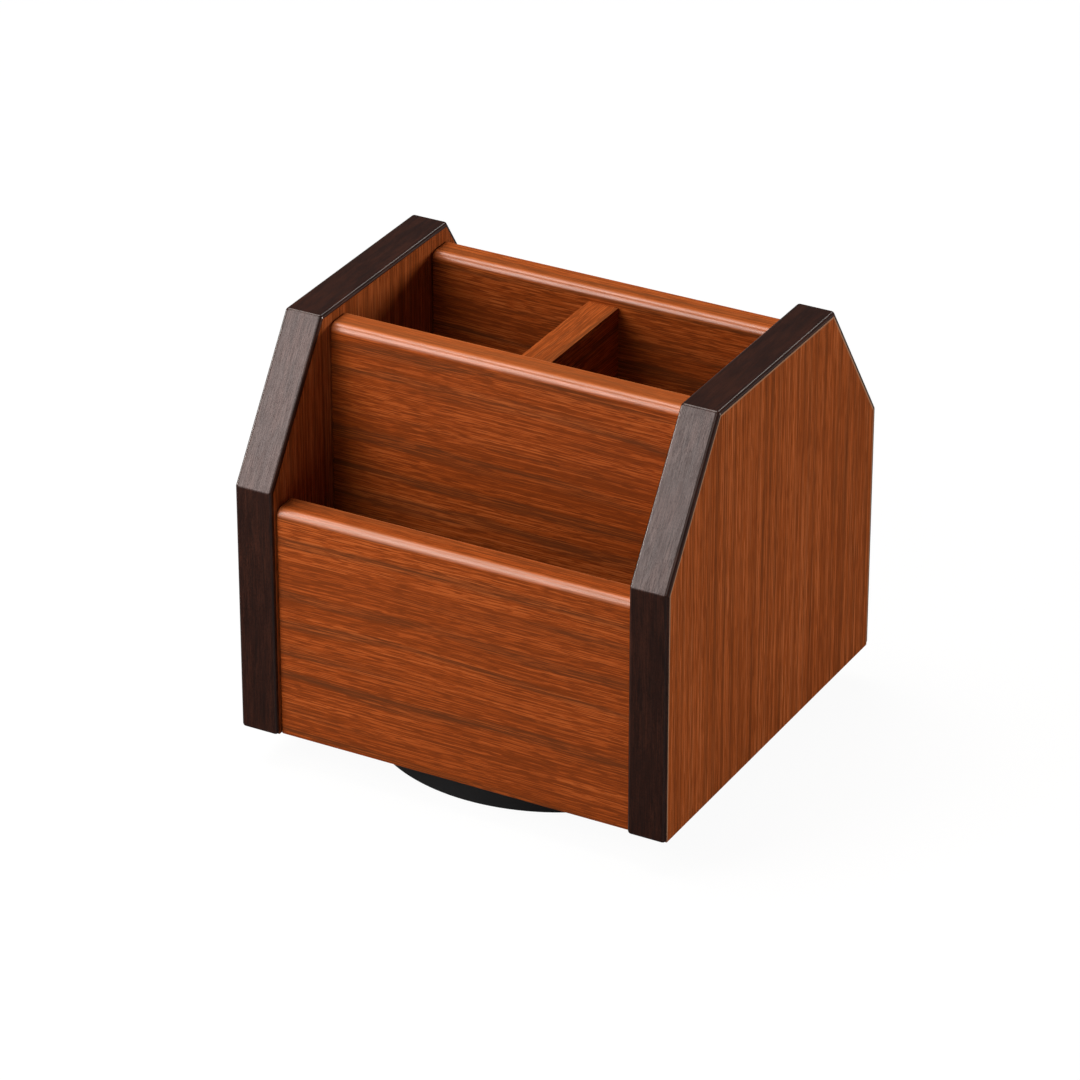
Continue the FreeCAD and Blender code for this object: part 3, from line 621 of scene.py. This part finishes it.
def band_wood(name, shift):
    """Dark-stained wood whose grain runs round the outline of a side."""
    shortening, fibre_depth, arris_gloss = 5.5, 0.000006, 0.9
    made, tree, sockets, place = material(
        name, Specular_IOR_Level=0.23, Specular_Tint=(1.0, 0.80, 0.78, 1.0), Coat_Roughness=0.16,
    )
    across, back, up = put(tree, "ShaderNodeSeparateXYZ", {0: place}).outputs
    along = calc(tree, "ADD", calc(tree, "ADD", back, up), shift)
    short = calc(tree, "MULTIPLY", along, shortening)
    lengthwise = put(tree, "ShaderNodeCombineXYZ", {"X": short, "Y": across, "Z": 0.0}).outputs[0]
    figure = use(tree, wood_figure, Place=lengthwise, **BAND_FIGURE)
    colour = figured(tree, figure, STAINED_BROWN, STAINED_HEART, bands=0.4, streaks=0.5, pores=0.3)
    tree.links.new(colour, sockets["Base Color"])
    tree.links.new(spread(tree, figure["Fibres"], 0.0, 1.0, 0.32, 0.28), sockets["Roughness"])
    bumped(tree, sockets, figure["Fibres"], fibre_depth)
    aslant = calc(tree, "ABSOLUTE", facing(tree)[0])
    arris = calc(tree, "MULTIPLY", aslant, calc(tree, "SUBTRACT", 1.0, aslant))
    polish = calc(tree, "MULTIPLY_ADD", figure["Fibres"], 0.22, 0.21)
    polish = calc(tree, "SUBTRACT", polish, calc(tree, "MULTIPLY", figure["Pores"], 0.14))
    gloss = calc(tree, "MAXIMUM", polish, spread(tree, arris, 0.12, 0.24, 0.0, arris_gloss))
    tree.links.new(gloss, sockets["Coat Weight"])
    return made


for side, shift in (("left", 0.4), ("right", 1.3)):
    finish_with(band_wood(f"dark_edge_band_{side}", shift), f"edge_band_{side}")


# ---- Boards between the sides ----
# Boards in the same laminate: 12 mm panels with rounded top edges, the grain from side to side,
# a 9 mm shelf, and the pen divider and drawer partition with the grain from front to back.

# The last column is how much painted top light pales each board's upward faces.
for name, grain, shift, painted_top_light in (
    ("front_panel", "X", (0.23, 0.06, 0.17), 0.04),
    ("middle_panel", "X", (0.35, 0.0, 0.11), 0.20),
    ("back_panel", "X", (0.83, 0.3, 0.02), 0.12),
    ("rear_panel", "X", (1.27, 0.6, 0.05), 0.04),
    ("pen_divider", "Y", (0.5, 0.1, 0.2), 0.08),
    ("shelf_board", "X", (1.9, 0.4, 0.1), 0.0),
    ("drawer_partition", "Y", (0.9, 0.5, 0.7), 0.0),
):
    finish_with(laminate(f"board_laminate_{name}", grain, shift, painted_top_light)[0], name)

BEECH = ((0.1, (0.42, 0.27, 0.14)), (0.9, (0.66, 0.49, 0.31)))
BEECH_HEART = (0.34, 0.20, 0.10)
dowel_wood = wood("beech", "X", (0, 0, 0), BEECH, BEECH_HEART, streaks=0.3, shine=(0.5, 0.65))[0]
finish_with(dowel_wood, "panel_dowels")


# ---- Drawers ----
# Plain sanded softwood boxes behind laminated fronts, two side by side.
# Each has a turned dark knob, held by a screw from inside the front.

PALE_WOOD = ((0.1, (0.36, 0.22, 0.10)), (0.5, (0.52, 0.36, 0.19)), (0.9, (0.64, 0.48, 0.29)))
PALE_HEART = (0.30, 0.17, 0.07)
DARK_WOOD = ((0.1, (0.014, 0.006, 0.004)), (0.9, (0.050, 0.022, 0.014)))
DARK_HEART = (0.010, 0.004, 0.003)
knob_screw_head = 0.0022
knob_screw_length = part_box("drawer_left_knob_screw")[1].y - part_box("drawer_left_knob_screw")[0].y
knob_shank_radius, knob_thread_pitch, knob_thread_depth = 0.00187, 0.0007, 0.00012
knob_first_turn, knob_last_turn = knob_screw_head + 0.0005, knob_screw_length - 0.0008
knob_recess_width, knob_recess_length, knob_recess_depth = 0.0010, 0.0046, 0.0015
knob_thread_start, knob_thread_step = knob_screw_head + 0.0006, 0.0000875
knob_thread_rows = [knob_thread_start + knob_thread_step * step for step in range(190)]
knob_screw_rows = [
    (0.0016, 0.0),
    (0.0027, 0.00012),
    (0.0034, 0.0005),
    (0.00373, 0.0011),
    (0.00373, knob_screw_head),
    (knob_shank_radius, knob_screw_head + 0.0001),
    *((knob_shank_radius, level) for level in knob_thread_rows),
    (knob_shank_radius, knob_screw_length - 0.0006),
    (0.0012, knob_screw_length),
]


def lathed(side, made, tree, sockets):
    """Adds the fine rings that the lathe tool leaves round a knob."""
    rings_per_metre, ring_depth = 2600, 0.00002
    low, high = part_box(f"drawer_{side}_knob")
    axis = (-(low.x + high.x) / 2, 0.0, -(low.z + high.z) / 2)
    feeds = {"Vector": tree.nodes["Texture Coordinate"].outputs["Object"], "Location": axis}
    centred = put(tree, "ShaderNodeMapping", feeds).outputs[0]
    across, along, up = put(tree, "ShaderNodeSeparateXYZ", {0: centred}).outputs
    flat = put(tree, "ShaderNodeCombineXYZ", {"X": across, "Z": up}).outputs[0]
    radius = put(tree, "ShaderNodeVectorMath", {0: flat}, operation="LENGTH").outputs["Value"]
    cut = put(tree, "ShaderNodeCombineXYZ", {"X": radius, "Y": along}).outputs[0]
    ringed = scaled(tree, cut, (rings_per_metre, rings_per_metre, 0))
    rings = noise(tree, ringed, rough=0.6).outputs["Fac"]
    bumped(tree, sockets, rings, ring_depth)
    return made


sawn = {"pores": 0.15, "streaks": 0.35, "shine": (0.55, 0.7), "relief": 0.00005}
for number, side in enumerate(("left", "right")):
    shift = 0.61 + 0.37 * number
    face = laminate(f"board_laminate_drawer_{side}", "X", (shift, 0.2, 0.33))[0]
    finish_with(face, f"drawer_{side}_front")
    along = wood(f"drawer_wood_{side}", "Y", (shift, 0, 0), PALE_WOOD, PALE_HEART, **sawn)[0]
    cross = wood(f"drawer_wood_cross_{side}", "X", (shift, 0.4, 0), PALE_WOOD, PALE_HEART, **sawn)[0]
    finish_with(along, f"drawer_{side}_side_a", f"drawer_{side}_side_b")
    finish_with(cross, f"drawer_{side}_back", f"drawer_{side}_bottom")
    turning = wood(f"dark_wood_{side}", "Y", (shift, 0, 0.1), DARK_WOOD, DARK_HEART)
    finish_with(lathed(side, *turning[:3]), f"drawer_{side}_knob")

    held = screw(
        f"knob_screw_{side}",
        knob_screw_rows,
        (knob_recess_width, knob_recess_length, knob_recess_depth),
        (knob_first_turn, knob_last_turn, knob_thread_pitch, knob_thread_depth),
    )
    low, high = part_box(f"drawer_{side}_knob_screw")
    seat = Vector(((low.x + high.x) / 2, low.y, (low.z + high.z) / 2))
    held.data.transform(Matrix.Translation(seat) @ Matrix.Rotation(-math.pi / 2, 4, "X"))
    held.data.materials.clear()
    held.data.materials.append(zinc_steel)
    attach(held, f"drawer_{side}")
    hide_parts(f"drawer_{side}_knob_screw")


# ---- Studio ----
# A white floor and a pale surround, two soft boxes at the front left, a fill from the right, a light
# from above and three faint rims. The camera stands to the right of the front and looks down.

def backdrop(tree):
    """The kinds of ray, and how far each sees plain white: the camera's fully, mirrored ones a little."""
    mirrored_share = 0.08
    seen = tree.nodes.new("ShaderNodeLightPath").outputs
    reflected = calc(tree, "MAXIMUM", seen["Is Glossy Ray"], seen["Is Transmission Ray"])
    mirrored = calc(tree, "MULTIPLY", reflected, mirrored_share)
    return seen, calc(tree, "MAXIMUM", seen["Is Camera Ray"], mirrored)


floor_half = 12.0
floor_corners = [(x * floor_half, y * floor_half, 0) for x, y in ((-1, -1), (1, -1), (1, 1), (-1, 1))]
floor = piece("floor", floor_corners, [(0, 1, 2, 3)])
floor_paint, tree, sockets, _ = material("floor_paint", Roughness=0.9, Specular_IOR_Level=0.0)
seen, shown = backdrop(tree)
white = put(tree, "ShaderNodeEmission", {"Color": (1, 1, 1, 1), "Strength": 1.0}).outputs[0]
dark_floor, camera_paleness, bounce_paleness, whiteness = 0.06, 0.94, 0.50, 0.95
paleness = calc(tree, "MULTIPLY_ADD", seen["Is Camera Ray"], camera_paleness, dark_floor)
paleness = calc(tree, "MULTIPLY_ADD", seen["Is Diffuse Ray"], bounce_paleness, paleness)
tree.links.new(paleness, sockets["Base Color"])
blend = put(tree, "ShaderNodeMixShader", {0: calc(tree, "MULTIPLY", shown, whiteness), 2: white})
tree.links.new(tree.nodes["Principled BSDF"].outputs[0], blend.inputs[1])
tree.links.new(blend.outputs[0], tree.nodes["Material Output"].inputs["Surface"])
floor.data.materials.append(floor_paint)

world = bpy.data.worlds.new("surround")
bpy.context.scene.world = world
world.use_nodes = True
tree = world.node_tree
seen, shown = backdrop(tree)
surround = tree.nodes["Background"]
surround.inputs["Color"].default_value = (1, 1, 1, 1)
dim_level, shown_level, bounce_level = 0.02, 0.98, 0.05
level = calc(tree, "MULTIPLY_ADD", shown, shown_level, dim_level)
level = calc(tree, "MULTIPLY_ADD", seen["Is Diffuse Ray"], bounce_level, level)
tree.links.new(level, surround.inputs["Strength"])

middle = (cad_box[0] + cad_box[1]) / 2
sun_distance = 2.0
softbox_white, sun_white = (1.0, 0.965, 0.935), (1.0, 0.96, 0.91)


def lamp(name, kind, towards, level, distance):
    """A lamp in the given direction from the cabinet, aimed at it; level is the light that falls on it."""
    made = bpy.data.objects.new(name, bpy.data.lights.new(name, kind))
    made.location = middle + Vector(towards).normalized() * distance
    made.rotation_mode = "QUATERNION"
    made.rotation_quaternion = Vector(towards).to_track_quat("Z", "Y")
    bpy.context.scene.collection.objects.link(made)
    made.data.energy = level if kind == "SUN" else level * math.pi * distance ** 2
    return made.data


for name, towards, level, distance, width in (
    ("key_softbox", (-0.43, -0.70, 0.53), 2.25, 0.60, 0.34),
    ("low_softbox", (-0.50, -0.85, 0.05), 0.60, 0.6, 0.34),
):
    box = lamp(name, "AREA", towards, level, distance)
    box.size, box.color = width, softbox_white
for name, towards, level, width in (
    ("side_fill", (0.86, 0.50, 0.06), 2.2, 12),
    ("overhead", (-0.32, 0.06, 0.94), 3.0, 44),
    ("arris_fill", (0.30, -0.74, 0.60), 0.15, 22),
    ("left_rim", (-0.95, -0.20, 0.22), 0.35, 8),
    ("far_rim", (0.12, 0.80, 0.60), 0.08, 8),
):
    sun = lamp(name, "SUN", towards, level, sun_distance)
    sun.angle, sun.color = math.radians(width), sun_white

azimuth, elevation = math.radians(28.6), math.radians(28.1)
level_part = math.cos(elevation)
back = Vector((math.sin(azimuth) * level_part, -math.cos(azimuth) * level_part, math.sin(elevation)))
eye = bpy.data.cameras.new("eye")
eye.lens, eye.sensor_width, eye.clip_start, eye.clip_end = 180.63, 36.0, 0.1, 50.0
camera = bpy.data.objects.new("eye", eye)
camera.location = (0.81963, -1.51805, 0.99474)
camera.rotation_mode = "QUATERNION"
camera.rotation_quaternion = (-back).to_track_quat("-Z", "Y")
bpy.context.scene.collection.objects.link(camera)
bpy.context.scene.camera = camera
bpy.context.scene.view_settings.view_transform = "Standard"
